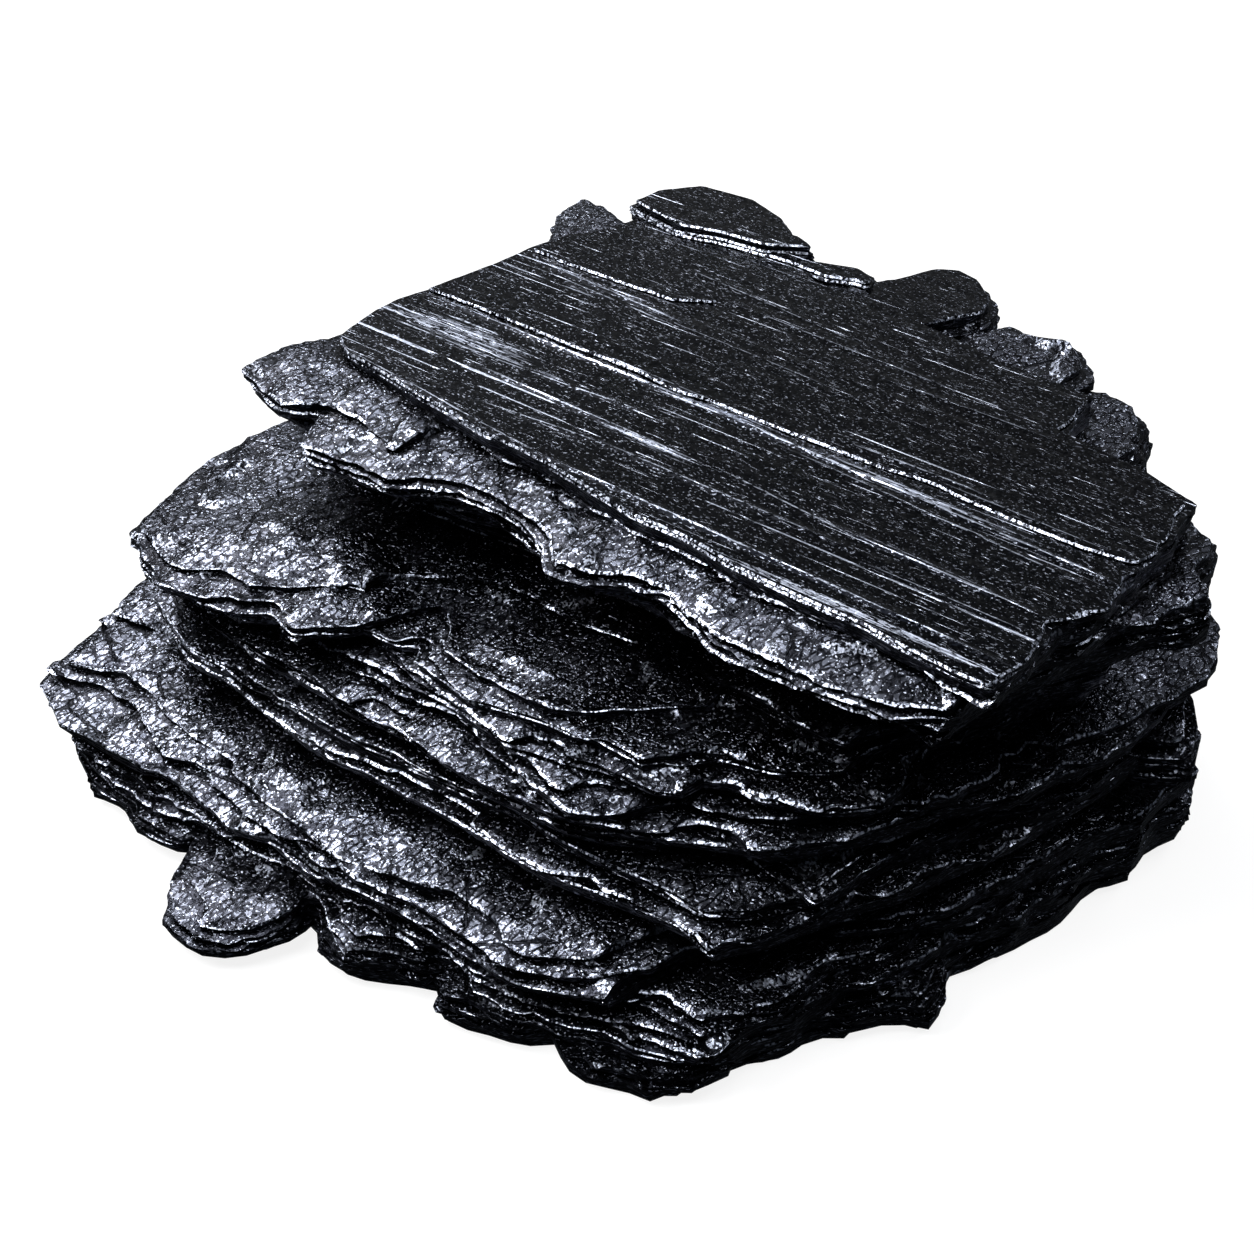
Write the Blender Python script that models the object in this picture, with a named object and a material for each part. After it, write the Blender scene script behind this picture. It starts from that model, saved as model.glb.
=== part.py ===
"""Graphite specimen: a hand-sized block of foliated graphite, one solid.

The block is a stack of cleavage plates that grew as one piece. Each plate is drawn as a
plan outline between two heights, its edge is broken by a noise field, and all the plates
are joined by a Boolean union. Lengths are in millimetres until the meshes are made.
+X runs along the striations of the top face, +Y across them, +Z up from the flat base.
"""

import bpy
import bmesh
from mathutils import Vector, noise

MM = 0.001

# Driving dimensions of the broken edges.
EDGE_STEP = 4.6  # longest stretch of plate edge between two points
WANDER = 0.9  # how far a break wanders off the drawn outline
WANDER_SPAN = 6.0  # distance over which it wanders there and back
LAYER_SPAN = 2.5  # the same, from one height to another
BACK_WANDER = 2.6  # how far the rougher break along the back of the lower packets wanders
BACK_START = 8.0  # the back break begins this far behind the middle
BACK_FULL = 24.0  # and is at its roughest from here on
TOP_PACKET = 29.0  # height above which the back broke as cleanly as the front

# How a plate's edge stands between its underside (0) and its top (1): (height, inset in mm).
SHEER = ((0.0, 0.0), (1.0, 0.0))
STEPPED = ((0.0, 0.9), (0.45, 0.9), (0.45, 0.0), (1.0, 0.0))
LAMINATED = ((0.0, 1.2), (0.25, 1.2), (0.25, 0.4), (0.5, 0.4), (0.5, 1.0), (0.75, 1.0), (0.75, 0.0), (1.0, 0.0))
LIP = ((0.0, 0.5), (0.4, 0.0), (0.7, 0.2), (1.0, 1.7))
DROOP = ((0.0, 0.9), (0.35, 0.0), (0.55, 0.1), (1.0, 3.2))
ROUGH = ((0.0, 1.0), (0.3, 0.1), (0.6, 0.6), (0.85, 0.0), (1.0, 0.4))
LUMP = ((0.0, 1.5), (0.35, 0.0), (0.8, 0.3), (1.0, 1.6))

# name: (underside, top, edge profile, plan outline), from the top of the stack down.
PLATES = {
    "back_cap": (36.4, 38.3, LIP, (
        (-29.5, 33), (-29, 37), (-26.5, 41), (-19, 42.5), (-14, 40), (-7, 35.5), (-12, 33), (-21, 31.5))),
    "back_step": (33.0, 37.3, LUMP, (
        (-25, 33), (-20, 38), (-8, 36.5), (-3.5, 38), (-0.5, 37), (1, 34), (-4, 32), (-14, 31.5))),
    "back_knob": (32.0, 36.6, LUMP, (
        (-2, 36), (0, 41), (1, 44), (4, 45.5), (7.5, 44), (10, 41.5), (12, 37), (9, 31), (-1, 31))),
    "back_block": (31.0, 35.6, LUMP, (
        (10, 35), (13, 39.5), (16, 39), (19.5, 40.5), (23, 39), (25, 35.5), (24, 29), (11, 30))),
    "back_corner": (27.0, 33.4, LUMP, (
        (19, 33), (22.5, 36.5), (26.5, 38), (29.5, 37.5), (32, 34), (33, 30.5), (34.5, 27.5), (32, 20), (19, 24))),
    "left_knob": (29.5, 33.6, LUMP, (
        (-33, 26), (-39, 31.5), (-41, 35.5), (-40.5, 39), (-37, 39.5), (-31, 37), (-26, 32))),
    "short_sheet": (36.8, 37.6, SHEER, (
        (-30, 18.5), (-21, 18.7), (-12.5, 18.6), (-9, 22), (-14, 25), (-24, 30), (-28, 28))),
    "long_sheet": (36.6, 37.3, SHEER, (
        (-32, 6.5), (-14.5, 6.1), (16, 6.0), (45.8, 6.5), (46, 10), (44.5, 18), (38, 20.4), (29.2, 21.4),
        (28.2, 28), (3, 29), (-10.5, 30.6), (-26, 31.5), (-30.5, 24))),
    "top_face": (34.6, 37.0, SHEER, (
        (-29, -8), (-32.5, -6), (-33, 0), (-32.3, 7), (-31.5, 19.5), (-27.5, 32.5), (-22, 34), (-3, 32.5),
        (18, 30), (28.5, 29), (29.5, 22), (38, 21), (44.5, 19), (46.5, 11.5), (46, 5), (46.8, 0), (45.5, -4),
        (46.2, -8), (45.5, -14), (37.5, -14.3), (19.5, -13.5), (4.5, -12), (-14.5, -10))),
    "top_chip": (34.3, 35.8, LIP, (
        (-37, -14.5), (-30, -16.5), (-25.5, -14), (-22, -14.2), (-16, -15.7), (-14, -9), (-10, 8),
        (-30, 22), (-33.5, 10), (-35, -4), (-37.5, -9))),
    "top_ledge": (33.0, 35.0, LIP, (
        (-24, -19), (-14, -18.5), (-9, -16), (-1.5, -15.3), (3, -17.5), (6, -19.6), (10, -19.6), (13, -17.3),
        (16.3, -16.7), (22, -19.5), (31, -19.7), (36, -18.8), (39.5, -18.6), (43, -16), (44, -8), (46.5, 2),
        (47, 11), (44, 18), (36, 19.5), (28, 21), (27, 28), (0, 31.5), (-25, 33), (-31.5, 22), (-33.5, 0),
        (-33, -11), (-28, -13))),
    "top_base": (30.8, 33.5, LAMINATED, (
        (-39.3, -12.5), (-35.5, -13.7), (-28.5, -13.8), (-24, -17), (-14, -17), (-6, -14.5), (3, -16.5),
        (9, -18.2), (13, -16), (22, -18.5), (38.5, -16.8), (42.8, -16.5), (44, -10), (46, -3), (48.5, 6),
        (47.5, 13), (43, 20), (34, 21.5), (30.5, 24), (29, 30), (5, 35), (-20, 37), (-34, 29), (-37, 10), (-38, -6))),
    "right_shoulder": (29.3, 33.8, LUMP, (
        (38, 9), (45.5, 5.5), (49, 7.5), (50.5, 11), (48.5, 15.5), (46.5, 19.5), (42, 23), (37, 22))),
    "upper_core": (26.8, 31.6, STEPPED, (
        (-33, -9), (-18, -12), (-2, -10.5), (12, -13), (30, -13.5), (40, -11), (44, 2), (46.5, 11),
        (47, 15), (45, 20), (35, 24), (30, 33), (8, 36), (-8, 33), (-28, 36), (-36, 24), (-34, 14), (-38, 4))),
    "middle_core": (20.5, 27.4, SHEER, (
        (-38, -6), (-20, -9), (0, -8), (18, -9), (33, -9), (38, 0), (42, 12), (38, 25), (24, 34),
        (12, 33), (0, 40), (-16, 36), (-26, 38), (-38, 30), (-36, 20), (-41, 12))),
    "back_ledge": (24.5, 28.2, STEPPED, (
        (-30, 30), (-33, 38), (-24, 42), (-12, 41), (-5, 44), (6, 42), (12, 38), (22, 37.5), (25, 30), (0, 24))),
    "left_plate": (22.4, 24.2, LIP, (
        (-40, -26), (-34, -28.3), (-30.5, -28.5), (-27.5, -26.7), (-24, -26.9), (-20, -25.6), (-17, -24),
        (-13.3, -21.7), (-13, -18.3), (-7, -14.7), (10, -12.6), (32, -12.8), (35, -4), (30, 18), (-10, 34),
        (-37, 33), (-44, 22), (-41, 8), (-40.5, -4), (-43.5, -9), (-43, -14), (-42, -18), (-42.7, -21))),
    "left_shelf": (20.8, 23.4, STEPPED, (
        (-41, -26.7), (-37, -29.5), (-32, -30.8), (-23, -29.2), (-20.5, -28), (-16, -28.8), (-12, -25.7),
        (-9, -20), (0, -10), (-10, 30), (-28, 40), (-38, 37), (-45, 20), (-43.5, 0), (-43.6, -16))),
    "shell_chip": (21.6, 22.9, LIP, (
        (-14.5, -22), (-11, -24.3), (-7.5, -24), (-5.5, -22), (-5, -16), (-12, -14))),
    "tongue": (22.2, 23.4, LIP, (
        (-3.5, -23), (2, -24.6), (6, -25), (10, -24.2), (14, -21.8), (20, -15), (18, -8), (-6, -8), (-8, -18))),
    "tongue_lip": (21.4, 22.7, SHEER, (
        (-4.5, -24.4), (3, -26.5), (10, -24.6), (15.5, -24.6), (20.5, -24.3), (24, -19.3), (28.5, -17.3),
        (32.5, -14), (35, -5), (30, 0), (-6, -6), (-10, -18))),
    "tongue_root": (19.8, 21.8, STEPPED, (
        (-10, -24), (-2, -26), (8, -27.2), (17, -25.5), (22, -25), (26, -20), (33, -18.5), (37, -15),
        (37, 0), (30, 10), (-20, 0), (-26, -24))),
    "front_plate": (18.6, 20.6, LIP, (
        (-12, -27), (2, -26.5), (8, -28), (16, -30), (20.5, -27.5), (23, -23), (28.5, -21), (32, -18),
        (36, -10), (30, 6), (-20, 0), (-30, -22))),
    "right_plate": (17.6, 20.0, STEPPED, (
        (33, -14), (38.8, -10), (41, -2), (43.7, 8.5), (45.5, 15), (46.8, 24), (44.5, 27.5), (38, 33),
        (30, 33), (22, 41), (8, 40), (-8, 44), (-24, 38), (-34, 40), (-44, 26), (-42, 14), (-45, 4),
        (-40, -10), (0, -20))),
    "front_underplate": (16.4, 18.9, STEPPED, (
        (-32, -27.5), (-18, -29), (-6, -29), (6, -30.5), (16, -29.8), (24, -26), (31.5, -21.8), (34.5, -17),
        (38, -10), (43, -3), (46.5, 10), (44, 24), (34, 36), (24, 36), (14, 42), (0, 40), (-30, 41),
        (-42, 22), (-43, -4), (-40, -22))),
    "waist": (14.6, 16.8, SHEER, (
        (-38, -24), (-20, -27), (0, -26), (16, -24), (27, -19), (34, -12), (40, -2), (43, 12), (40, 26),
        (22, 38), (-6, 38), (-32, 35), (-41, 18), (-42, -4))),
    "lower_chip": (14.2, 16.1, LIP, (
        (26, -20.5), (36, -21.5), (37, -16), (41, -4), (36, 4), (24, -4))),
    "lower_plate": (13.2, 15.2, SHEER, (
        (-39.5, -26), (-30, -29.2), (-12, -29.8), (-2, -29.6), (8, -28), (20, -27.6), (29, -28), (32.5, -25.5),
        (35, -20), (38.5, -10), (43, 0), (45.5, 12), (43, 28), (34, 34), (26, 33), (16, 42), (-4, 44),
        (-18, 40), (-30, 43), (-44, 26), (-47, 12), (-45, 0))),
    "lower_underplate": (11.6, 13.8, STEPPED, (
        (-36, -27), (-20, -30.5), (0, -31.5), (8, -31), (23, -29.5), (31.8, -29.8), (35.5, -23), (39, -13),
        (43, -2), (45, 12), (42, 26), (24, 40), (8, 38), (-6, 42), (-30, 38), (-42, 22), (-44, -6))),
    "lower_waist": (8.6, 12.2, SHEER, (
        (-38, -22), (-18, -26), (4, -27), (20, -25), (30, -20), (36, -8), (40, 6), (38, 24), (22, 36),
        (-6, 39), (-30, 35), (-41, 18), (-42, -4))),
    "shelf_back": (9.0, 10.8, LIP, (
        (-45.3, -27.5), (-38, -25.5), (-30, -27), (-24, -20), (-30, 10), (-40, 30), (-47, 24), (-49, 8),
        (-50.5, -8), (-48.5, -20))),
    "shelf": (7.8, 10.0, DROOP, (
        (-46.3, -28), (-43.5, -34), (-38, -32.8), (-33, -33), (-26, -35.5), (-14, -36.7), (-3, -38.3), (7, -36),
        (17.5, -37), (23, -33.6), (27, -29), (30, -20), (20, -8), (-20, 0), (-44, 8), (-50, -8))),
    "shelf_wall": (4.4, 8.4, LAMINATED, (
        (-44.5, -37.8), (-38, -39.8), (-31, -39.8), (-24, -39.3), (-18, -40.3), (-10, -39.3), (-4, -40.5),
        (8, -38.6), (18, -39), (26, -36), (28, -24), (20, -6), (-20, 6), (-46, 6), (-50, -16))),
    "corner_shelf": (5.4, 7.3, LIP, (
        (16, -37.5), (24, -36), (28.5, -34), (32.8, -33.2), (36, -26), (37, -20), (39, -12), (36, -2),
        (10, -8), (10, -34))),
    "corner_wall": (2.6, 5.8, LAMINATED, (
        (12, -38.5), (22, -37.8), (28, -34.6), (33.4, -33.6), (34.8, -29), (37.5, -20), (40.5, -11), (38, 0),
        (6, 0), (0, -34))),
    "right_shelf": (1.2, 9.3, ROUGH, (
        (34.5, -17), (39.3, -13), (41, -8), (42.6, -3), (44, 2), (44.8, 7), (46, 12), (46.5, 17), (47, 20.5),
        (44.8, 26), (38, 33), (28, 40), (10, 44), (-2, 41), (-16, 45), (-38, 38), (-48, 20), (-46, 0), (0, -14))),
    "right_knob": (11.0, 16.2, LUMP, (
        (41, 12), (46, 12.5), (49, 15), (48, 19.3), (44.3, 24), (38, 24))),
    "base": (0.0, 5.0, ROUGH, (
        (-40, -34), (-33, -37.5), (-22, -38.5), (-14, -37), (-4, -39), (5, -38.5), (9, -37.5), (13, -38.7),
        (19, -37.5), (21, -36.3), (28, -36), (32, -34.4), (34.5, -28), (37, -22), (40.5, -14), (41.5, -8),
        (43.5, -2), (45, 5), (44.6, 9), (46, 18), (44, 26.5), (34, 36), (18, 42), (-8, 44), (-32, 39),
        (-44, 26), (-47, 6), (-46, -14))),
    "left_foot": (0.6, 6.2, LUMP, (
        (-42.5, -34.5), (-38.5, -37.6), (-35, -39.6), (-30, -39.8), (-26, -41), (-21, -39.8), (-20, -37),
        (-22, -28), (-40, -26))),
    "toe": (0.9, 4.4, LUMP, (
        (-20, -39), (-17.5, -44), (-14.5, -47.3), (-10.5, -48.3), (-7, -46), (-4.5, -40.5), (-8, -33), (-18, -34))),
    "front_foot": (0.3, 5.2, LUMP, (
        (-6, -38), (-2, -41), (1.5, -41.8), (5, -39.9), (8.5, -38.6), (6, -31), (-4, -32))),
    "middle_foot": (0.2, 4.6, LUMP, (
        (9, -38), (11, -39.7), (15, -39.4), (18.6, -38.6), (21, -36), (18, -30), (10, -30))),
    "corner_foot": (0.2, 3.4, LUMP, (
        (21, -37), (23, -38.2), (26, -38), (28, -36.4), (31, -36), (33.6, -34.2), (34.6, -30), (28, -28), (20, -32))),
    "right_foot": (0.2, 4.0, LUMP, (
        (36, -21), (39, -20.6), (40.5, -17), (43, -15.2), (43, -11), (41, -7.5), (34, -10))),
}

GRAPHITE_COLOUR = (0.022, 0.023, 0.027, 1.0)
GRAPHITE_ROUGHNESS = 0.38
GRAPHITE_METALLIC = 0.65


def clear_scene():
    for existing in list(bpy.data.objects):
        bpy.data.objects.remove(existing)


def edge_points(outline):
    """The outline's corners, with more points between those that are far apart."""
    points = []
    for here, there in zip(outline, outline[1:] + outline[:1]):
        start, end = Vector(here), Vector(there)
        steps = max(1, round((end - start).length / EDGE_STEP))
        points += [start.lerp(end, i / steps) for i in range(steps)]
    return points


def inward(points):
    """A unit vector into the outline at each of its points. The outline runs either way round."""
    area = sum(a.cross(b) for a, b in zip(points, points[1:] + points[:1]))
    normals = []
    for i, _ in enumerate(points):
        along = points[(i + 1) % len(points)] - points[i - 1]
        normals.append(Vector((-along.y, along.x)).normalized() * (1 if area > 0 else -1))
    return normals


def wander(point, height):
    """The noise field that breaks a plate's edge: a shift in X and Y that changes with height."""
    reach = WANDER
    if height < TOP_PACKET:
        back = (point.y - BACK_START) / (BACK_FULL - BACK_START)
        reach += (BACK_WANDER - WANDER) * min(1.0, max(0.0, back))
    place = Vector((point.x / WANDER_SPAN, point.y / WANDER_SPAN, height / LAYER_SPAN))
    return reach * Vector((noise.noise(place), noise.noise(place + Vector((31.7, 11.3, 5.9)))))


def plate_mesh(name, low, high, profile, outline):
    """One closed plate: a ring of points at each step of its edge profile, and a flat cap at each end."""
    points = edge_points(outline)
    normals = inward(points)
    mesh = bmesh.new()
    rings = []
    for share, inset in profile:
        z = low + share * (high - low)
        ring = []
        for point, normal in zip(points, normals):
            place = point + inset * normal + wander(point, low)
            ring.append(mesh.verts.new(Vector((place.x, place.y, z)) * MM))
        rings.append(ring)
    for lower, upper in zip(rings, rings[1:]):
        for i, _ in enumerate(lower):
            j = (i + 1) % len(lower)
            mesh.faces.new((lower[i], lower[j], upper[j], upper[i]))
    mesh.faces.new(reversed(rings[0]))
    mesh.faces.new(rings[-1])
    bmesh.ops.recalc_face_normals(mesh, faces=mesh.faces)
    data = bpy.data.meshes.new(name)
    mesh.to_mesh(data)
    mesh.free()
    return data


def joined(plates):
    """One object whose mesh is the union of all the plates."""
    first, *others = plates
    stack = bpy.data.collections.new("plates")
    bpy.context.scene.collection.children.link(stack)
    for plate in others:
        stack.objects.link(plate)
    union = first.modifiers.new("grown_together", "BOOLEAN")
    union.operation = "UNION"
    union.operand_type = "COLLECTION"
    union.collection = stack
    union.solver = "EXACT"
    bpy.context.view_layer.update()
    evaluated = first.evaluated_get(bpy.context.evaluated_depsgraph_get())
    solid = bpy.data.meshes.new_from_object(evaluated)
    first.modifiers.clear()
    first.data = solid
    for plate in others:
        bpy.data.objects.remove(plate)
    bpy.data.collections.remove(stack)
    return first


def centre(mesh):
    """Moves the mesh in plan so that the middle of its box stands over the origin."""
    for axis in (0, 1):
        along = [vertex.co[axis] for vertex in mesh.vertices]
        middle = (min(along) + max(along)) / 2
        for vertex in mesh.vertices:
            vertex.co[axis] -= middle


def graphite():
    material = bpy.data.materials.new("graphite")
    material.use_nodes = True
    shader = material.node_tree.nodes["Principled BSDF"]
    shader.inputs["Base Color"].default_value = GRAPHITE_COLOUR
    shader.inputs["Roughness"].default_value = GRAPHITE_ROUGHNESS
    shader.inputs["Metallic"].default_value = GRAPHITE_METALLIC
    return material


def main():
    clear_scene()
    plates = []
    for name, (low, high, profile, outline) in PLATES.items():
        plates.append(bpy.data.objects.new(name, plate_mesh(name, low, high, profile, outline)))
    bpy.context.scene.collection.objects.link(plates[0])
    specimen = joined(plates)
    specimen.name = "graphite_specimen"
    specimen.data.name = "graphite_specimen"
    centre(specimen.data)
    specimen.data.materials.clear()
    specimen.data.materials.append(graphite())


main()
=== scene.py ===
"""Graphite specimen: the finished surface of the block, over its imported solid, and the studio round it.

Run it as a script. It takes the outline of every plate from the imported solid, parts the plates into
torn laminae, grows the laminae together, and gives the block the finish of cleaved graphite.
"""

import itertools
import math

import bmesh
import bpy
import numpy as np
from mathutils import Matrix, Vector
from mathutils.bvhtree import BVHTree
from mathutils.geometry import delaunay_2d_cdt


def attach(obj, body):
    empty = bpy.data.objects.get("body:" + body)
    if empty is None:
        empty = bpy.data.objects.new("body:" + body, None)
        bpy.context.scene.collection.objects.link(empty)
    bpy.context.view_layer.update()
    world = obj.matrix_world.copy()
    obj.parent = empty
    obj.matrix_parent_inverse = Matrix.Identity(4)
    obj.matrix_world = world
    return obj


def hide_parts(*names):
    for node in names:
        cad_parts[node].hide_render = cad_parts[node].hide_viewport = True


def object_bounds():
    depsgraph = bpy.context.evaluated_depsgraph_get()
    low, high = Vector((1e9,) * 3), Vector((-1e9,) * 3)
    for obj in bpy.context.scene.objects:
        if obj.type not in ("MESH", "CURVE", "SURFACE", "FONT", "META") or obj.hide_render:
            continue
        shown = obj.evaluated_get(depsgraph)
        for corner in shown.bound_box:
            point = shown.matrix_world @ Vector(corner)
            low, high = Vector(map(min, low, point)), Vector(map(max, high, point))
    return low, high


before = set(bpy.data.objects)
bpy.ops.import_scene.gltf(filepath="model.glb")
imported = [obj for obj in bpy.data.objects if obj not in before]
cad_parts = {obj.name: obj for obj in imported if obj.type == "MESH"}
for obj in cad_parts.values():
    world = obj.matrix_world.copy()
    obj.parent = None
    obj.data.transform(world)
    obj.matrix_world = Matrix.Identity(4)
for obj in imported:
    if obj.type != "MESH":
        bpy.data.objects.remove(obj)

bl_info = {
    "name": "Graphite specimen",
    "version": (1, 0, 0),
    "blender": (4, 5, 0),
    "location": "3D View > Sidebar > Graphite",
    "description": "Builds a block of foliated graphite and the studio that it is seen in",
    "category": "Add Mesh",
}

MM = 0.001
NODE = "graphite_specimen"
CAD_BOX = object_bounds()

# The lengths below are in millimetres.
TOP_FACE = 36.5  # plates that end above this height are striated
TOP_PACKET = 31.0  # and above this one, plates have lost few flakes
LEDGE_AREA = 4.0  # a level face with fewer square millimetres is no ledge
CLOSE_LEDGES = 0.25  # ledges closer than this are one
SMALLEST_LOOP = 3.0  # square millimetres of the smallest lamina
FOOT = 5.4  # below this height the block is broken all over
FOOT_DARK = 0.65  # how dark the level faces of the foot are, from a clean ledge (0) to a broken edge (1)
RIM = 0.18  # height of a lamina's thin rim
SHADE_REACH = (0.5, 1.4)  # painted shade on a ledge as close as the first to what lies on it, and none from the second on
EMBED = 0.5  # how far each lamina reaches down into the one below
JAGGED = 0.12  # how far a point of a lamina's edge may jump out of line
EDGE_STEP = 0.65  # between two points along a lamina's edge
LUMPS = 0.55  # how far the lumps of a coarse break stand out or back
CAP_SHARE = 1.8  # a lamina that carries a ledge is this many times as thick as its neighbours
SECTION_SHARE = 0.4  # a lamina takes its outline from the solid at this share of its height
COVERED = 3.2  # a ledge needs no surface points as far as this under the lamina above it
RIM_CLEAR = 0.45  # between a ledge's rim and its nearest surface point
LEDGE_STEP = 0.75  # between the surface points of a ledge
STRIA_STEP = (3.6, 0.24)  # between the surface points of the striated face, along X and along Y
BLOCK_MIDDLE = 19.0  # height of the middle of the block, which the lights face
SHARP = 38  # degrees between two faces above which their edge is shaded sharp
GAP_POINTS = 3  # points of the edge to each point at the back of a gap
SEED = 5
# The widest striae of the top face: start and end, each in X and Y, and height.
STRIAE = (
    ((-33, 7.2), (2, 6.9), 0.20),
    ((0, 6.9), (47, 5.1), 0.20),
    ((14, 7.0), (36, 6.1), 0.14),
    ((-12, 8.4), (12, 7.3), 0.08),
    ((10, 5.8), (46, 3.2), 0.12),
    ((16, 9.4), (31, 9.6), 0.14),
    ((26, 8.9), (44, 8.6), 0.08),
    ((-31, 19.2), (-8, 17.9), 0.18),
    ((-29, 17.9), (-9, 17.0), 0.10),
    ((-14, 17.6), (10, 16.6), 0.07),
    ((-18, 27.5), (7, 25.2), 0.10),
    ((-8, 24.2), (20, 23.2), 0.08),
    ((12, 21.0), (30, 21.3), 0.09),
    ((-27, 1.0), (2, 2.8), 0.10),
    ((-20, -0.4), (8, -1.1), 0.16),
    ((10, -0.8), (26, -2.6), 0.13),
    ((22, -2.2), (45, -2.6), 0.16),
    ((25, -1.7), (39, -2.1), 0.09),
    ((-14, -5.2), (0, -3.9), 0.10),
    ((-2, -3.8), (26, -4.2), 0.11),
    ((28, -5.2), (44, -5.2), 0.07),
    ((-30, -5.9), (-2, -9.0), 0.14),
    ((-4, -8.9), (46, -10.0), 0.16),
)
# Places of the top face with a painted silvery sheen: middle and half width, in X and in Y.
SHEENS = (
    ((-24.0, 3.3), (8.5, 2.0)),
    ((27.0, 6.3), (9.0, 0.5)),
    ((2.0, 6.9), (5.0, 0.4)),
    ((4.0, -1.5), (5.5, 0.5)),
    ((33.0, -11.5), (14.0, 0.5)),
)
# Where the front wall leans: lowest and highest lamina, and how far back the highest one stands. Below 0 it
# stands out.
LEANS = ((2.6, 8.5, 2.4), (8.5, 10.2, -2.4))
# Packets of plates that bend down at their free edge: lowest and highest plate, fade, where the bend
# starts and a place further out, and the drop there.
BENDS = (
    (30.5, 38.5, 2.0, (0, -10), (0, -19), 1.0),
    (20.5, 24.5, 1.5, (-22, -12), (-38, -27), 1.2),
    (4.0, 10.5, 2.5, (0, -26), (0, -38), 0.4),
)

# The camera: how far it is turned from -Y towards +X, its rise above level, both in degrees, the place that
# it faces, and its distance from there.
CAMERA_ANGLES = (40, 34)
CAMERA_AIM = (2.53, -3.9, 18.85)
CAMERA_DISTANCE = 220.8
# The lights: direction from the block, distance in metres, width and height in metres, and linear colour.
WHITE = (1.0, 1.0, 1.0)
COOL = (0.95, 0.97, 1.0)
LIGHTS = {
    "key": ((-0.58, -0.25, 0.77), 0.6, (0.8, 0.2), WHITE),
    "back": ((0.35, 0.6, 0.72), 0.8, (0.5, 0.25), COOL),
    "fill": ((-0.53, 0.64, 0.56), 1.0, (0.9, 0.9), COOL),
    "side": ((-0.72, 0.46, 0.52), 1.0, (0.26, 0.26), COOL),
    "lips": ((-0.53, 0.29, 0.79), 0.8, (0.35, 0.35), COOL),
    "overhead": ((0.05, -0.25, 0.97), 1.2, (0.6, 0.6), COOL),
}


class GraphiteBlockSettings(bpy.types.PropertyGroup):
    """Sizes of the block's broken surface."""

    lamina: bpy.props.FloatProperty(
        name="Lamina", description="Thickness of one lamina in a broken edge",
        default=0.55 * MM, unit="LENGTH")
    gap: bpy.props.FloatProperty(
        name="Gap", description="Depth of the gap that parts one lamina's edge from the next",
        default=0.8 * MM, unit="LENGTH")
    tear: bpy.props.FloatProperty(
        name="Tear", description="How far one lamina stands out or back from its neighbours",
        default=0.42 * MM, unit="LENGTH")
    chip: bpy.props.FloatProperty(
        name="Chip", description="How far back the edge goes where a flake has come off",
        default=1.8 * MM, unit="LENGTH")
    lip: bpy.props.FloatProperty(
        name="Lip", description="Width of the rounded lip at the front of each ledge",
        default=6.5 * MM, unit="LENGTH")
    triangles: bpy.props.IntProperty(
        name="Triangles", description="Most triangles in the finished block", default=196000)


class GraphiteFinishSettings(bpy.types.PropertyGroup):
    """Colours of the graphite, with its painted shade and painted highlights."""

    # Broken faces are darker than cleavage faces partly as painted shade of their splintered hollows. The
    # material also paints shade with this colour near walls, at the foot, in gaps and on sloping rims.
    edge: bpy.props.StringProperty(
        name="Broken edge", description="Colour of a broken edge, sRGB hex", default="#191a1f")
    cleavage: bpy.props.StringProperty(
        name="Cleavage", description="Colour of a clean cleavage face, sRGB hex", default="#666974")
    slipped: bpy.props.StringProperty(
        name="Striated face", description="Colour of the flat face between its striae, sRGB hex",
        default="#090b11")
    # The colour of the painted highlights: beads on the rims, glints on the ledges, and the striae, specks and
    # sheens of the striated face.
    painted_highlight: bpy.props.StringProperty(
        name="Rubbed", description="Colour where rims and striae are rubbed bright, sRGB hex",
        default="#c0c6d6")


class GraphiteStudioSettings(bpy.types.PropertyGroup):
    """The studio round the block."""

    key: bpy.props.FloatProperty(
        name="Key light", description="Power of the long soft light at the left", default=8.5, unit="POWER")
    overhead: bpy.props.FloatProperty(
        name="Overhead light", description="Power of the wide soft light above", default=7.0, unit="POWER")
    back: bpy.props.FloatProperty(
        name="Back light", description="Power of the light behind, which picks out the rims at the right",
        default=3.5, unit="POWER")
    fill: bpy.props.FloatProperty(
        name="Fill light", description="Power of the wide dim light that the level faces reflect",
        default=0.45, unit="POWER")
    side: bpy.props.FloatProperty(
        name="Side light", description="Power of the small light that the level faces at the left reflect",
        default=0.15, unit="POWER")
    lips: bpy.props.FloatProperty(
        name="Lip light", description="Power of the light above the left that the ledges' lips reflect",
        default=1.3, unit="POWER")
    room: bpy.props.FloatProperty(
        name="Room light", description="Strength of the faint light from all round", default=0.062)
    floor: bpy.props.StringProperty(
        name="Floor", description="Colour of the floor, sRGB hex", default="#6c6c6c")
    glow: bpy.props.FloatProperty(
        name="Floor glow", description="Light that comes up through the floor, as on a light table",
        default=0.86)


def linear(colour):
    """An sRGB hex colour as linear RGBA."""
    channels = [int(colour[i:i + 2], 16) / 255 for i in (1, 3, 5)]
    return (*(c / 12.92 if c <= 0.04045 else ((c + 0.055) / 1.055) ** 2.4 for c in channels), 1.0)


def lattice(cells):
    """A fixed random number between -1 and 1 for each whole-numbered cell."""
    x, y, z = (cells[:, i].astype(np.uint64) for i in range(3))
    mixed = (x * np.uint64(73856093)) ^ (y * np.uint64(19349663)) ^ (z * np.uint64(83492791))
    mixed = (mixed ^ (mixed >> np.uint64(15))) * np.uint64(2246822519)
    mixed = (mixed ^ (mixed >> np.uint64(13))) & np.uint64(0xFFFFFF)
    return mixed.astype(np.float64) / 0x7FFFFF - 1


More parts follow.
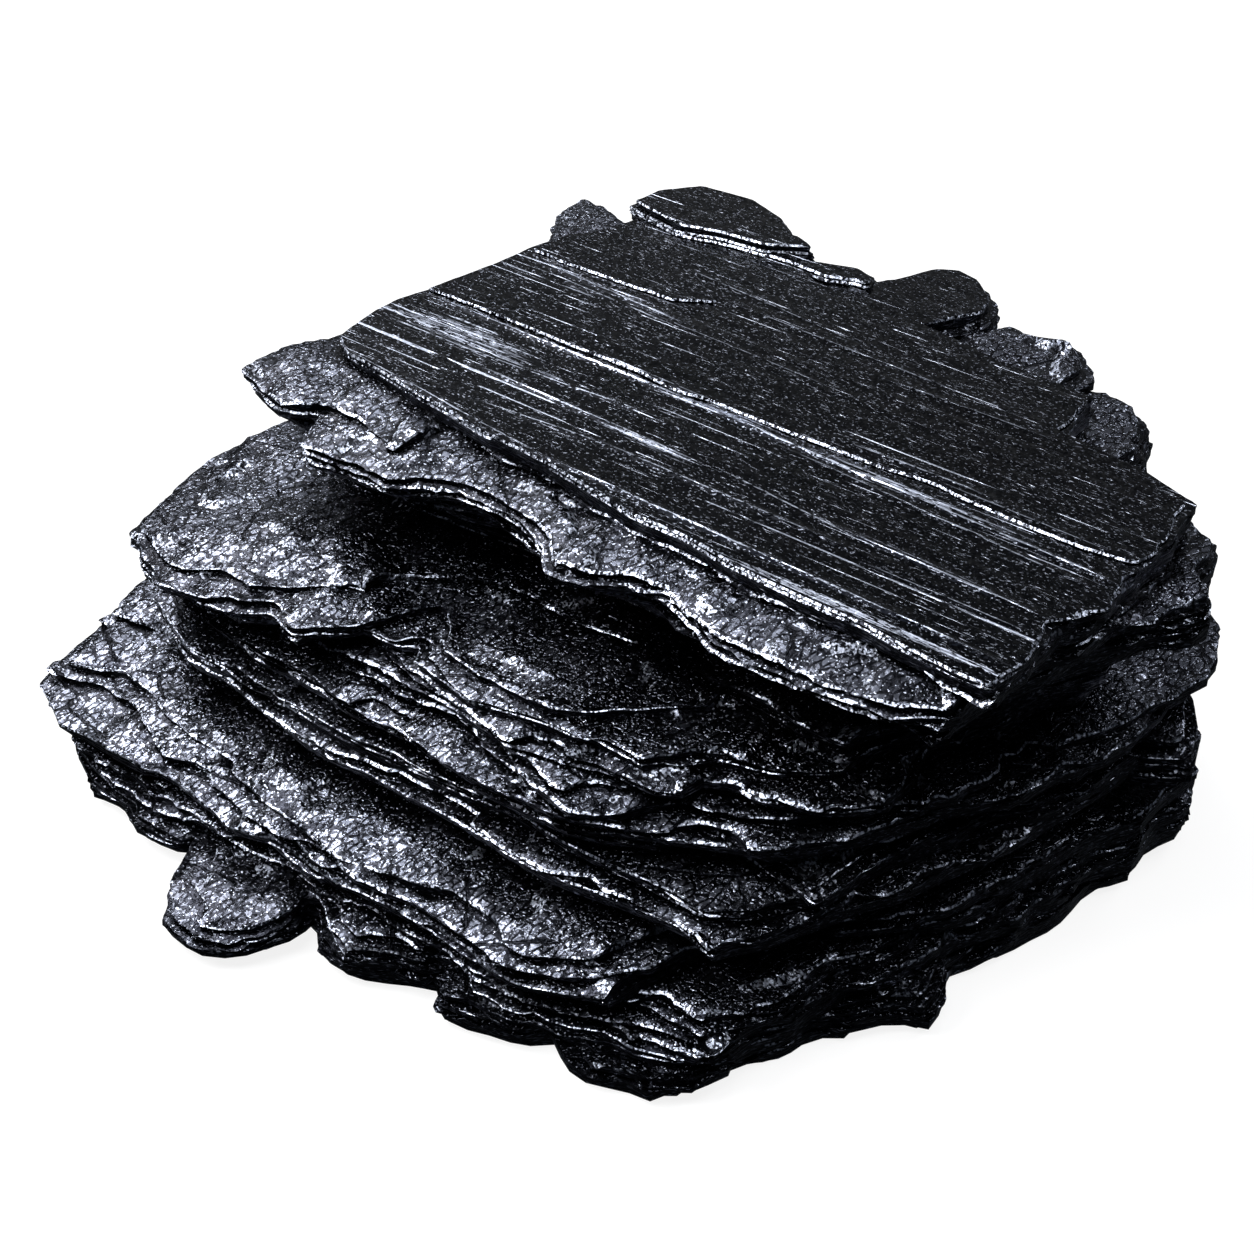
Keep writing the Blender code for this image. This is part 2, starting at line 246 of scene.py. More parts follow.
def field(points, span, seed):
    """A smooth random field between -1 and 1 that changes over span, one size or one for each axis."""
    place = points / np.asarray(span, float) + 37.17 * seed + 500
    cell = np.floor(place)
    share = place - cell
    share = share * share * share * (share * (share * 6 - 15) + 10)
    cell = cell.astype(np.int64)
    total = np.zeros(len(points))
    for corner in itertools.product((0, 1), repeat=3):
        weight = np.prod(np.where(np.array(corner) == 1, share, 1 - share), axis=1)
        total += weight * lattice(cell + np.array(corner))
    return total


def rough(points, span, seed, octaves=3):
    """Several fields, each half as wide and half as strong as the last."""
    span = np.asarray(span, float)
    return sum(field(points, span / 2 ** i, seed + i) / 2 ** i for i in range(octaves))


def ramp(values, low, high):
    """0 up to low, 1 from high on, and a smooth rise between."""
    share = np.clip((values - low) / (high - low), 0, 1)
    return share * share * (3 - 2 * share)


def stairs(values, tread):
    """Level treads with short risers. tread is the share of each step that is level."""
    whole = np.floor(values)
    return whole + ramp(values - whole, tread, 1.0)


def welded(mesh):
    """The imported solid: its points, each edge's two ends, each face's edges, and the level area by height."""
    shape = bmesh.new()
    shape.from_mesh(mesh)
    bmesh.ops.remove_doubles(shape, verts=shape.verts, dist=1e-7)
    bmesh.ops.triangulate(shape, faces=shape.faces)
    points = np.array([vert.co for vert in shape.verts]) / MM
    edges = np.array([[vert.index for vert in edge.verts] for edge in shape.edges])
    faces = np.array([[edge.index for edge in face.edges] for face in shape.faces])
    level = {}
    for face in shape.faces:
        if face.normal.z > 0.99:
            height = round(face.calc_center_median().z / MM, 2)
            level[height] = level.get(height, 0) + face.calc_area() / MM ** 2
    shape.free()
    return points, edges, faces, level


def lamina_heights(level, sizes, rng):
    """Where each lamina ends: at every ledge of the solid, and at uneven steps between them."""
    ledges = [0.0]
    for height in sorted(height for height, area in level.items() if area > LEDGE_AREA):
        if height - ledges[-1] < CLOSE_LEDGES:
            ledges.pop()
        ledges.append(height)
    ledges[0] = 0.0
    heights = [0.0]
    for low, high in zip(ledges, ledges[1:]):
        count = max(1, round((high - low) / (sizes.lamina / MM)))
        shares = rng.uniform(0.6, 1.4, count)
        shares[-1] *= CAP_SHARE
        shares = np.cumsum(shares)
        heights += list(low + (high - low) * shares / shares[-1])
    return heights


def area_of(loop):
    """The area inside the loop, below 0 where it runs clockwise."""
    return 0.5 * np.sum(loop[:, 0] * np.roll(loop[:, 1], -1) - np.roll(loop[:, 0], -1) * loop[:, 1])


def nearest(points, loop):
    """Distance from each plan point to the nearest point of the loop, and which point that is."""
    distance = np.full(len(points), np.inf)
    which = np.zeros(len(points), int)
    for start in range(0, len(points), 2000):
        part = ((points[start:start + 2000, None] - loop[None]) ** 2).sum(axis=2)
        which[start:start + 2000] = part.argmin(axis=1)
        distance[start:start + 2000] = np.sqrt(part.min(axis=1))
    return distance, which


def inside(points, loop):
    """True for each plan point inside the loop."""
    x, y = points[:, 0, None], points[:, 1, None]
    x0, y0 = loop[None, :, 0], loop[None, :, 1]
    x1, y1 = np.roll(x0, -1, axis=1), np.roll(y0, -1, axis=1)
    spans = (y0 > y) != (y1 > y)
    with np.errstate(divide="ignore", invalid="ignore"):
        across = x < (x1 - x0) * (y - y0) / (y1 - y0) + x0
    return (spans & across).sum(axis=1) % 2 == 1


def section(solid, height):
    """The solid's outlines at a height: closed loops of plan points, anticlockwise, with pockets filled."""
    points, edges, faces, _ = solid
    above = points[:, 2] > height
    cut = above[edges[:, 0]] != above[edges[:, 1]]
    first, second = points[edges[:, 0]], points[edges[:, 1]]
    with np.errstate(divide="ignore", invalid="ignore"):
        share = ((height - first[:, 2]) / (second[:, 2] - first[:, 2]))[:, None]
        place = (first + share * (second - first))[:, :2]
    links = {}
    for triple in faces[cut[faces].sum(axis=1) == 2]:
        a, b = (edge for edge in triple if cut[edge])
        links.setdefault(a, []).append(b)
        links.setdefault(b, []).append(a)
    loops = []
    while links:
        here = next(iter(links))
        chain = []
        while here in links:
            chain.append(here)
            ways = links.pop(here)
            here = next((edge for edge in ways if edge in links), None)
        loop = place[chain]
        size = area_of(loop)
        if abs(size) > SMALLEST_LOOP:
            loops.append(loop if size > 0 else loop[::-1])
    loops.sort(key=lambda loop: -area_of(loop))
    kept = []
    for loop in loops:
        if not any(inside(loop[:1], other)[0] for other in kept):
            kept.append(loop)
    return kept


def spaced(loop, step):
    """The loop with its points evenly spaced."""
    closed = np.vstack([loop, loop[:1]])
    along = np.concatenate([[0], np.cumsum(np.linalg.norm(np.diff(closed, axis=0), axis=1))])
    count = GAP_POINTS * max(4, round(along[-1] / step / GAP_POINTS))
    wanted = np.linspace(0, along[-1], count, endpoint=False)
    return np.stack([np.interp(wanted, along, closed[:, i]) for i in (0, 1)], axis=1)


def inwards(loop):
    """A unit vector into the anticlockwise loop at each point."""
    tangent = np.roll(loop, -2, axis=0) - np.roll(loop, 2, axis=0)
    normal = np.stack([-tangent[:, 1], tangent[:, 0]], axis=1)
    return normal / np.maximum(np.linalg.norm(normal, axis=1, keepdims=True), 1e-9)


def in_space(plan, height):
    """The plan points at that height."""
    return np.column_stack([plan, np.full(len(plan), height)])


def faces_front(normal):
    """How far a break faces the front, -Y, where normal points into the block."""
    return ramp(normal[:, 1], 0.3, 0.8)


def coarse(normal, height):
    """How coarse a break is, with lumps and few laminae. It is coarse where it faces +X, and at the foot."""
    return np.maximum(ramp(-normal[:, 0], 0.45, 0.85), 1 - ramp(height, FOOT - 2.0, FOOT))


def torn(loop, high, seed, sizes, share):
    """The loop of one lamina with its edge torn. It wanders its own way, and flakes are off it in places."""
    place = in_space(loop, seed * 7.3)
    lumpy = coarse(inwards(loop), high)
    calm = (0.12 if high > TOP_FACE else 1.0) * (1 - 0.8 * lumpy)
    moved = loop.copy()
    for axis in (0, 1):
        for span, reach in ((5.0, 0.7), (1.8, 0.6)):
            wander = field(place, (span, span, 1.0), 60 + axis)
            moved[:, axis] += share * calm * reach * sizes.tear / MM * wander
        moved[:, axis] += share * calm * JAGGED * lattice(np.round(place * 50).astype(int) + 5000 + 90 * axis)
    off = ramp(field(place, (8, 8, 1), 63), 0.25, 0.5) * (0.15 if high > TOP_PACKET else 1.0)
    lumps = rough(in_space(loop, high), (2.8, 2.8, 2.0), 66)
    back = share * sizes.chip / MM * off + share * lumpy * LUMPS * lumps
    for low, top, lean in LEANS:
        if low < high <= top:
            back += share * lean * (high - low) / (top - low) * faces_front(inwards(loop))
    return moved + inwards(loop) * back[:, None]


def surface_points(ring, covers, striated, rng):
    """Plan points of a lamina's top that nothing lies on."""
    low, high = ring.min(axis=0), ring.max(axis=0)
    step = STRIA_STEP if striated else (LEDGE_STEP, LEDGE_STEP)
    places = [np.arange(low[i], high[i], step[i]) for i in (0, 1)]
    grid = np.stack(np.meshgrid(*places), axis=-1)
    grid[1::2, :, 0] += step[0] / 2
    grid = grid.reshape(-1, 2)
    if not striated:
        grid += rng.uniform(-0.25, 0.25, grid.shape) * step[0]
    for cover in covers:
        hidden = inside(grid, cover)
        hidden[hidden] = nearest(grid[hidden], cover)[0] > COVERED
        grid = grid[~hidden]
    grid = grid[inside(grid, ring)]
    return grid[nearest(grid, ring)[0] > RIM_CLEAR]


def cap(ring, extra, stretch):
    """Triangles over the ring's inside that use each extra point, or None where the ring crosses itself."""
    plan = np.vstack([ring, extra]) / stretch
    count = len(ring)
    border = [(i, (i + 1) % count) for i in range(count)]
    made = delaunay_2d_cdt([Vector(point) for point in plan], border, [], 1, 1e-6)
    if len(made[0]) != len(plan) or any(len(source) != 1 for source in made[3]):
        return None
    source = [origin[0] for origin in made[3]]
    return [[source[i] for i in face] for face in made[2]]


def facets(plan, layer, span, tilt):
    """Relief of flat facets about span wide. Each tilts its own way, and a point lies on the nearest one."""
    place = plan / span + 500.0
    cell = np.floor(place).astype(np.int64)
    closest = np.full(len(plan), np.inf)
    relief = np.zeros(len(plan))
    for step in itertools.product((-1, 0, 1), repeat=2):
        near = cell + np.array(step)
        key = np.column_stack([near, np.full(len(near), layer)])
        draws = [lattice(key + 1000 * i) for i in range(4)]
        away = place - near - 0.5 - 0.45 * np.stack(draws[:2], axis=1)
        distance = (away ** 2).sum(axis=1)
        height = span * tilt * (away * np.stack(draws[2:], axis=1)).sum(axis=1)
        relief = np.where(distance < closest, height, relief)
        closest = np.minimum(closest, distance)
    return relief


def striae(plan):
    """Relief of the striated face: the widest striae, and finer ones between them."""
    place = in_space(plan, 0)
    relief = 0.03 * field(place, (28, 0.85, 9), 71) + 0.012 * field(place, (11, 0.5, 9), 72)
    for (start, y), (end, last), height in STRIAE:
        away = np.abs(plan[:, 1] - y - (plan[:, 0] - start) * (last - y) / (end - start))
        along = ramp(plan[:, 0], start, start + 4) * (1 - ramp(plan[:, 0], end - 4, end))
        relief += height * along * np.clip(1 - away / 0.3, 0, 1)
    return relief


def uncovered(plan, covers):
    """1 where a plan point of a lamina is in the open, falling to 0 at 1.5 mm under the laminae above it."""
    share = np.ones(len(plan))
    for cover in covers:
        under = inside(plan, cover)
        share[under] *= 1 - ramp(nearest(plan[under], cover)[0], 0.3, 1.5)
    return share


def close_under(plan, covers):
    """1 where a plan point of a lamina's edge is close to the edge of the lamina above it, 0 far from it."""
    close = np.zeros(len(plan))
    for cover in covers:
        close = np.maximum(close, 1 - ramp(nearest(plan, cover)[0], 0.9, 2.0))
    return close


def ledge(plan, height, seed):
    """Relief of a ledge: it waves, it is made of tilted facets, and thin flakes are off it."""
    place = in_space(plan, height * 2.0)
    warped = plan + 0.9 * np.stack([field(place, (3, 3, 3), 82), field(place, (3, 3, 3), 83)], axis=1)
    waves = 0.18 * field(place, (8, 8, 3), 81)
    tilted = facets(warped, seed, 6.5, 0.07) + facets(warped, seed + 90, 2.3, 0.05)
    return waves + tilted + 0.16 * stairs(2.0 * rough(place, (11, 11, 5), 33), 0.85)


def lip(plan, ring, normal, thick, sizes):
    """How far each plan point of a ledge sinks because it bends down towards its front lip."""
    distance, which = nearest(plan, ring)
    front = ramp(normal[which] @ np.array((0.35, 1.0)), -0.2, 0.5)
    bend = np.clip(1 - distance / (sizes.lip / MM), 0, 1) ** 2
    return front * bend * 0.7 * thick


def band(first, few, second, many):
    """Faces between two rings, the lower of which may have GAP_POINTS times fewer points."""
    if few == many:
        return [
            [first + i, first + (i + 1) % few, second + (i + 1) % many, second + i] for i in range(few)]
    faces = []
    for i in range(few):
        here, there = first + i, first + (i + 1) % few
        above = [second + (GAP_POINTS * i + step) % many for step in range(GAP_POINTS + 1)]
        faces += [[here, above[1], above[0]], [here, there, above[2], above[1]], [there, above[3], above[2]]]
    return faces


def lamina(loop, covers, low, high, seed, sizes, rng):
    """One lamina: a gap that parts it from the one below, a thin rim, and a top with its relief."""
    thick = high - low
    striated = high > TOP_FACE
    share = 1.0
    while share > 0.05:
        ring = torn(spaced(loop, EDGE_STEP), high, seed, sizes, share)
        normal = inwards(ring)
        depth = sizes.gap / MM * (0.5 + 0.6 * field(in_space(ring, seed * 3.1), (9, 9, 1), 90))
        lumpy = coarse(normal, high)
        depth = np.clip(depth, 0.15, None) * (1 - 0.85 * lumpy) * share * (0.4 if striated else 1.0)
        bevel = 0.24 + 0.1 * field(in_space(ring, seed * 5.7), (0.9, 0.9, 1), 91)
        bevel = 0.15 if striated else bevel * (1 - 0.5 * lumpy)
        bevel = bevel * (1 - 0.9 * lumpy * close_under(ring, covers))
        bevel = np.broadcast_to(bevel, len(ring))[:, None]
        foot = (ring + normal * depth[:, None])[::GAP_POINTS]
        rings = [(foot, low - EMBED), (foot, low + 0.05), (ring, high - RIM)]
        rings.append((ring + normal * bevel * share, high))
        if seed == 0:
            rings[0] = (foot, 0.0)
            rings.pop(1)
        top = rings[-1][0]
        extra = surface_points(top, covers, striated, rng)
        stretch = np.array((STRIA_STEP[0] / STRIA_STEP[1], 1.0) if striated else (1.0, 1.0))
        upper = cap(top, extra, stretch)
        lower = cap(rings[0][0], np.empty((0, 2)), np.ones(2))
        if upper and lower:
            break
        share *= 0.6
    else:
        raise RuntimeError(f"the lamina at {low:.2f} mm crosses itself")
    count = len(ring)
    points = np.vstack([in_space(plan, height) for plan, height in rings] + [in_space(extra, high)])
    starts = np.cumsum([0] + [len(plan) for plan, _ in rings])
    start = starts[-2]
    face, outer = points[start:], points[start - count:start]
    if striated:
        face[:, 2] += striae(face[:, :2])
    else:
        face[:, 2] += ledge(face[:, :2], high, seed) * uncovered(face[:, :2], covers)
        face[:, 2] -= lip(face[:, :2], top, normal, thick, sizes)
        outer[:, 2] = np.maximum(face[:count, 2] - RIM, low + 0.08)
        face[:count, 2] = np.maximum(face[:count, 2], outer[:, 2] + 0.06)
    faces = [[c, b, a] for a, b, c in lower]
    for first, second, end in zip(starts, starts[1:], starts[2:]):
        faces += band(first, second - first, second, end - second)
    faces += [[start + i for i in triangle] for triangle in upper]
    mesh = bpy.data.meshes.new("lamina")
    mesh.from_pydata((points * MM).tolist(), [], faces)
    return mesh


def apply_modifiers(block):
    """Replaces the object's mesh by what its modifiers make of it."""
    bpy.context.view_layer.update()
    evaluated = block.evaluated_get(bpy.context.evaluated_depsgraph_get())
    made = bpy.data.meshes.new_from_object(evaluated)
    block.modifiers.clear()
    block.data = made


def grown_together(meshes, name):
    """One object: the union of all the laminae."""
    stack = bpy.data.collections.new("laminae")
    bpy.context.scene.collection.children.link(stack)
    pieces = [bpy.data.objects.new("lamina", mesh) for mesh in meshes]
    for piece in pieces[1:]:
        stack.objects.link(piece)
    block = pieces[0]
    block.name = name
    bpy.context.scene.collection.objects.link(block)
    union = block.modifiers.new("grown_together", "BOOLEAN")
    union.operation = "UNION"
    union.operand_type = "COLLECTION"
    union.collection = stack
    union.solver = "MANIFOLD"
    apply_modifiers(block)
    for piece in pieces[1:]:
        bpy.data.objects.remove(piece)
    bpy.data.collections.remove(stack)
    return block


def one_surface(block):
    """Leaves one closed surface of triangles, without crumbs that nothing holds and without doubled faces."""
    shape = bmesh.new()
    shape.from_mesh(block.data)
    for vert in shape.verts:
        vert.tag = False
    crumbs = []
    for start in shape.verts:
        if start.tag:
            continue
        start.tag = True
        joined = [start]
        for vert in joined:
            for edge in vert.link_edges:
                other = edge.other_vert(vert)
                if not other.tag:
                    other.tag = True
                    joined.append(other)
        if len(joined) < len(shape.verts) / 2:
            crumbs += joined
    bmesh.ops.delete(shape, geom=crumbs, context="VERTS")
    bmesh.ops.triangulate(shape, faces=shape.faces)
    alike = {}
    for face in shape.faces:
        alike.setdefault(frozenset(face.verts), []).append(face)
    doubled = [face for faces in alike.values() if len(faces) > 1 for face in faces]
    bmesh.ops.delete(shape, geom=doubled, context="FACES")
    shape.to_mesh(block.data)
    shape.free()


def thinned(block, most):
    """Takes out the triangles that matter least until there are no more than most."""
    block.data.calc_loop_triangles()
    count = len(block.data.loop_triangles)
    if count > most:
        block.modifiers.new("fewer_faces", "DECIMATE").ratio = most / count
        apply_modifiers(block)


def arrays(mesh):
    """The points in millimetres and their normals."""
    points = np.empty(len(mesh.vertices) * 3, np.float32)
    mesh.vertices.foreach_get("co", points)
    normals = np.empty(len(mesh.vertices) * 3, np.float32)
    mesh.vertex_normals.foreach_get("vector", normals)
    return points.reshape(-1, 3).astype(float) / MM, normals.reshape(-1, 3).astype(float)


def bent(points):
    """The points with the packets of plates bent down towards their free edges, and waved a little."""
    moved = points.copy()
    for low, high, fade, start, end, drop in BENDS:
        start, end = np.array(start, float), np.array(end, float)
        along = (points[:, :2] - start) @ (end - start) / ((end - start) @ (end - start))
        weight = ramp(points[:, 2], low - fade, low) * (1 - ramp(points[:, 2], high, high + fade))
        moved[:, 2] -= weight * drop * np.clip(along, 0, None) ** 1.7
    between = ramp(points[:, 2], 0.5, 5) * (1 - ramp(points[:, 2], 31, 36))
    moved[:, 2] += 0.45 * field(points, (16, 16, 14), 95) * between
    return moved


def moved_to(block, points):
    """Moves the block's points there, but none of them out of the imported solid's box."""
    low, high = (np.array(corner) / MM for corner in CAD_BOX)
    points = np.clip(points, low + 0.001, high - 0.001)
    points[:, 2] = np.where(points[:, 2] < 0.002, 0.0, points[:, 2])
    block.data.vertices.foreach_set("co", (points * MM).astype(np.float32).ravel())
    block.data.update()


def add_mask(mesh, name, domain, values):
    """Stores a number for each face or point, for the materials."""
    attribute = mesh.attributes.new(name, "FLOAT", domain)
    attribute.data.foreach_set("value", values.astype(np.float32))


def painted_shade_near_walls(mesh, middles, up):
    """1 for a level face close to the foot of a lamina above it, falling to 0 further out, where shade is
    painted.
    """
    points = [point.co for point in mesh.vertices]
    surface = BVHTree.FromPolygons(points, [face.vertices for face in mesh.polygons])
    turns = np.linspace(0, math.tau, 6, endpoint=False)
    ways = [Vector((math.cos(turn), math.sin(turn), 0)) for turn in turns]
    reach = SHADE_REACH[1] * MM
    distance = np.full(len(middles), SHADE_REACH[1])
    for face in np.flatnonzero(up > 0.5):
        start = Vector(middles[face]) + Vector((0, 0, 0.2 * MM))
        hits = (surface.ray_cast(start, way, reach)[3] for way in ways)
        distance[face] = min((hit for hit in hits if hit is not None), default=reach) / MM
    return 1 - ramp(distance, *SHADE_REACH)


def mark_faces(block):
    """Masks for the finish: the ledges; the sloping rims, painted dark and beaded with painted highlights; the
    concave gaps, which get painted shade; and the painted shade close to what stands on a level face, joined
    with the darker foot. The level part of the striated face gets the second material."""
    mesh = block.data
    middles = np.empty(len(mesh.polygons) * 3, np.float32)
    mesh.polygons.foreach_get("center", middles)
    up = np.empty(len(mesh.polygons) * 3, np.float32)
    mesh.polygons.foreach_get("normal", up)
    middles = middles.reshape(-1, 3)
    top = middles[:, 2] / MM > TOP_FACE - 0.2
    up = up[2::3].astype(float)
    add_mask(mesh, "ledge", "FACE", ramp(up, 0.3, 0.6))
    low = 1 - ramp(middles[:, 2] / MM, FOOT - 1, FOOT)
    # Painted shade on level faces close to what stands on them, and all faces below FOOT darker.
    add_mask(mesh, "tuck", "FACE", np.maximum(painted_shade_near_walls(mesh, middles, up), FOOT_DARK * low))
    # Sloping rim faces: the material paints them dark as shade and beads them with painted highlights.
    add_mask(mesh, "rim", "FACE", ramp(-up, -0.93, -0.84) * ramp(up, 0.25, 0.4))
    mesh.polygons.foreach_set("material_index", (top & (up > 0.84)).astype(np.int32))
    points, normals = arrays(mesh)
    ends = np.empty(len(mesh.edges) * 2, np.int32)
    mesh.edges.foreach_get("vertices", ends)
    first, second = ends[0::2], ends[1::2]
    along = points[second] - points[first]
    sunk = np.zeros(len(points))
    total = np.zeros(len(points))
    np.add.at(sunk, first, np.einsum("ij,ij->i", along, normals[first]))
    np.add.at(sunk, second, -np.einsum("ij,ij->i", along, normals[second]))
    np.add.at(total, first, np.linalg.norm(along, axis=1))
    np.add.at(total, second, np.linalg.norm(along, axis=1))
    sunk /= np.maximum(total, 1e-9)
    # Concave points: the material paints shade there with the colour of a broken edge.
    add_mask(mesh, "gap", "POINT", ramp(sunk, 0.1, 0.35))


def per_mm(x, y, z):
    """Scales that make a texture of scale 1 change over x, y and z millimetres."""
    return (1 / (x * MM), 1 / (y * MM), 1 / (z * MM))


def add_node(tree, kind, inputs, out=0, **settings):
    """Adds a node of that kind with its settings, links or sets its inputs, and returns one output."""
    node = tree.nodes.new(kind)
    for name, value in settings.items():
        setattr(node, name, value)
    for name, value in inputs.items():
        if isinstance(value, bpy.types.NodeSocket):
            tree.links.new(value, node.inputs[name])
        else:
            node.inputs[name].default_value = value
    return node.outputs[out]


def graphite(name):
    """A new material for graphite, which is metallic, and the place on the block for its patterns."""
    material = bpy.data.materials.new(name)
    material.use_nodes = True
    material.node_tree.nodes["Principled BSDF"].inputs["Metallic"].default_value = 1.0
    return material, add_node(material.node_tree, "ShaderNodeTexCoord", {}, "Object")


def turned_facets(tree, where, dimensions):
    """Relief of cells that are facets, each turned a little its own way."""
    centre = add_node(
        tree, "ShaderNodeTexVoronoi", {"Vector": where, "Scale": 1.0}, "Position",
        voronoi_dimensions=dimensions)
    drawn = centre.node.outputs["Color"]
    turn = add_node(tree, "ShaderNodeVectorMath", {0: drawn, 1: (0.5, 0.5, 0.5)}, operation="SUBTRACT")
    out = add_node(tree, "ShaderNodeVectorMath", {0: where, 1: centre}, operation="SUBTRACT")
    return add_node(tree, "ShaderNodeVectorMath", {0: turn, 1: out}, "Value", operation="DOT_PRODUCT")


def finish_off(tree, reliefs, roughness, rougher, colour, coats):
    """Sets relief, each with its place and depth in mm, roughness and what adds to it, and colour coats."""
    shader = tree.nodes["Principled BSDF"]
    height = 0.0
    for relief, where, depth in reliefs:
        share = add_node(tree, "ShaderNodeMath", {0: where, 1: depth}, operation="MULTIPLY")
        height = add_node(tree, "ShaderNodeMath", {0: relief, 1: share, 2: height}, operation="MULTIPLY_ADD")
    bump = add_node(tree, "ShaderNodeBump", {"Height": height, "Strength": 1.0, "Distance": 1.0 * MM})
    tree.links.new(bump, shader.inputs["Normal"])
    for share, more in rougher:
        roughness = add_node(
            tree, "ShaderNodeMath", {0: share, 1: more, 2: roughness}, operation="MULTIPLY_ADD")
    tree.links.new(roughness, shader.inputs["Roughness"])
    colour = linear(colour)
    for share, added in coats:
        colour = add_node(tree, "ShaderNodeMix", {0: share, 6: colour, 7: linear(added)}, 2, data_type="RGBA")
    tree.links.new(colour, shader.inputs["Base Color"])


def cleaved_graphite(finish):
    """Graphite cleaved by hand: near black and metallic, of flakes and small plates that are dull mirrors.
    Shade in its hollows and glints on its rims and ledges are painted.
    """
    material, place = graphite("cleaved_graphite")
    tree = material.node_tree
    ledge_mask, rim, gap, tuck = (
        add_node(tree, "ShaderNodeAttribute", {}, "Fac", attribute_name=name)
        for name in ("ledge", "rim", "gap", "tuck"))
    broken = add_node(tree, "ShaderNodeMath", {0: 1.0, 1: ledge_mask}, operation="SUBTRACT")

    # Each pattern has the size in millimetres that the mark has on real graphite. Cracks and plates lie only
    # on ledges, so they don't change along Z.
    stretched = {}
    noise = {}
    for name, size, detail in (
        ("hammered", (0.9, 0.9, 0.9), 2.0),
        ("comb", (0.22, 2.4, 1.5), 1.0),
        ("wall_glint", (0.7, 0.7, 0.14), 1.0),
        ("bead", (0.28, 0.28, 0.4), 1.0),
        ("sheet", (2.2, 2.2, 0.2), 1.0),
        ("splinter", (0.5, 0.5, 0.35), 2.0),
        ("patch", (9.0, 6.0, 6.0), 2.0),
        ("crack", (11.0, 8.0, math.inf), None),
        ("plate", (0.75, 1.5, math.inf), None),
        ("flake", (0.28, 0.28, 0.28), None),
    ):
        stretched[name] = add_node(
            tree, "ShaderNodeVectorMath", {0: place, 1: per_mm(*size)}, operation="MULTIPLY")
        if detail is not None:
            noise[name] = add_node(
                tree, "ShaderNodeTexNoise", {"Vector": stretched[name], "Scale": 1.0, "Detail": detail})
    # The share of each mark: from none at the first noise value to all of it at the second.
    mark = {}
    for name, source, none, full in (
        ("pit", "splinter", 0.46, 0.38),
        ("wall_glint", "wall_glint", 0.60, 0.68),
        ("bead", "bead", 0.42, 0.58),
        ("cracked", "patch", 0.52, 0.56),
        ("creased", "hammered", 0.34, 0.40),
        ("glint", "bead", 0.65, 0.72),
    ):
        mark[name] = add_node(
            tree, "ShaderNodeMapRange", {0: noise[source], 1: none, 2: full, 3: 0.0, 4: 1.0})
    # Cracks 0.3 mm wide round flakes a centimetre across, and creases 0.2 mm wide round plates a millimetre
    # across. How far each wanders, and where it begins and is full, are shares of that flake or plate.
    lines = {}
    for name, wander, wide, narrow, where in (
        ("crack", 0.09, 0.022, 0.010, mark["cracked"]), ("plate", 0.7, 0.15, 0.10, mark["creased"]),
    ):
        away = add_node(
            tree, "ShaderNodeVectorMath", {0: noise["hammered"], 1: (wander,) * 3}, operation="MULTIPLY")
        stretched[name] = add_node(
            tree, "ShaderNodeVectorMath", {0: stretched[name], 1: away}, operation="ADD")
        line = add_node(
            tree, "ShaderNodeTexVoronoi", {"Vector": stretched[name], "Scale": 1.0},
            feature="DISTANCE_TO_EDGE", voronoi_dimensions="2D")
        line = add_node(tree, "ShaderNodeMapRange", {0: line, 1: wide, 2: narrow, 3: 0.0, 4: 1.0})
        line = add_node(tree, "ShaderNodeMath", {0: line, 1: where}, operation="MULTIPLY")
        lines[name] = add_node(tree, "ShaderNodeMath", {0: line, 1: ledge_mask}, operation="MULTIPLY")
    pit = add_node(tree, "ShaderNodeMath", {0: mark["pit"], 1: ledge_mask}, operation="MULTIPLY")
    pit = add_node(tree, "ShaderNodeMath", {0: pit, 1: 0.8}, operation="MULTIPLY")
    pit = add_node(tree, "ShaderNodeMath", {0: pit, 1: lines["plate"]}, operation="MAXIMUM")
    # Painted glints: specks of cleavage colour on the broken faces.
    wall_glint = add_node(tree, "ShaderNodeMath", {0: mark["wall_glint"], 1: broken}, operation="MULTIPLY")
    # Painted highlight beads along the rims.
    rim_glints = add_node(tree, "ShaderNodeMath", {0: rim, 1: mark["bead"]}, operation="MULTIPLY")
    # Painted glints: specks on the ledges in the painted highlight colour.
    glint = add_node(tree, "ShaderNodeMath", {0: ledge_mask, 1: mark["glint"]}, operation="MULTIPLY")
    dull = add_node(tree, "ShaderNodeMapRange", {0: noise["patch"], 1: 0.35, 2: 0.65, 3: 0.15, 4: 0.28})
    finish_off(
        tree,
        (
            (turned_facets(tree, stretched["flake"], "3D"), 1.0, 0.04),
            (turned_facets(tree, stretched["plate"], "2D"), ledge_mask, 0.11),
            (noise["hammered"], ledge_mask, 0.02),
            (noise["comb"], ledge_mask, 0.015),
            (pit, 1.0, -0.04),
            (lines["crack"], 1.0, -0.2),
            (noise["sheet"], broken, 0.2),
            (noise["splinter"], broken, 0.12),
        ),
        dull,
        ((broken, 0.14), (rim_glints, 0.15), (glint, 0.3)),
        # Base colour: broken faces are darker than cleavage, partly as painted shade of their splintered
        # hollows.
        finish.edge,
        (
            # Cleavage colour on ledges, pits, painted shade near walls and at the darker foot, and painted
            # glints on the ledges.
            (ledge_mask, finish.cleavage), (pit, finish.edge), (tuck, finish.edge), (glint, finish.painted_highlight),
            # Painted glints of cleavage colour on the broken faces.
            (wall_glint, finish.cleavage),
            # Sloping rims painted dark with painted highlight beads, cracks, and painted shade in concave gaps.
            (rim, finish.edge), (rim_glints, finish.painted_highlight), (lines["crack"], finish.edge), (gap, finish.edge),
        ),
    )
    return material


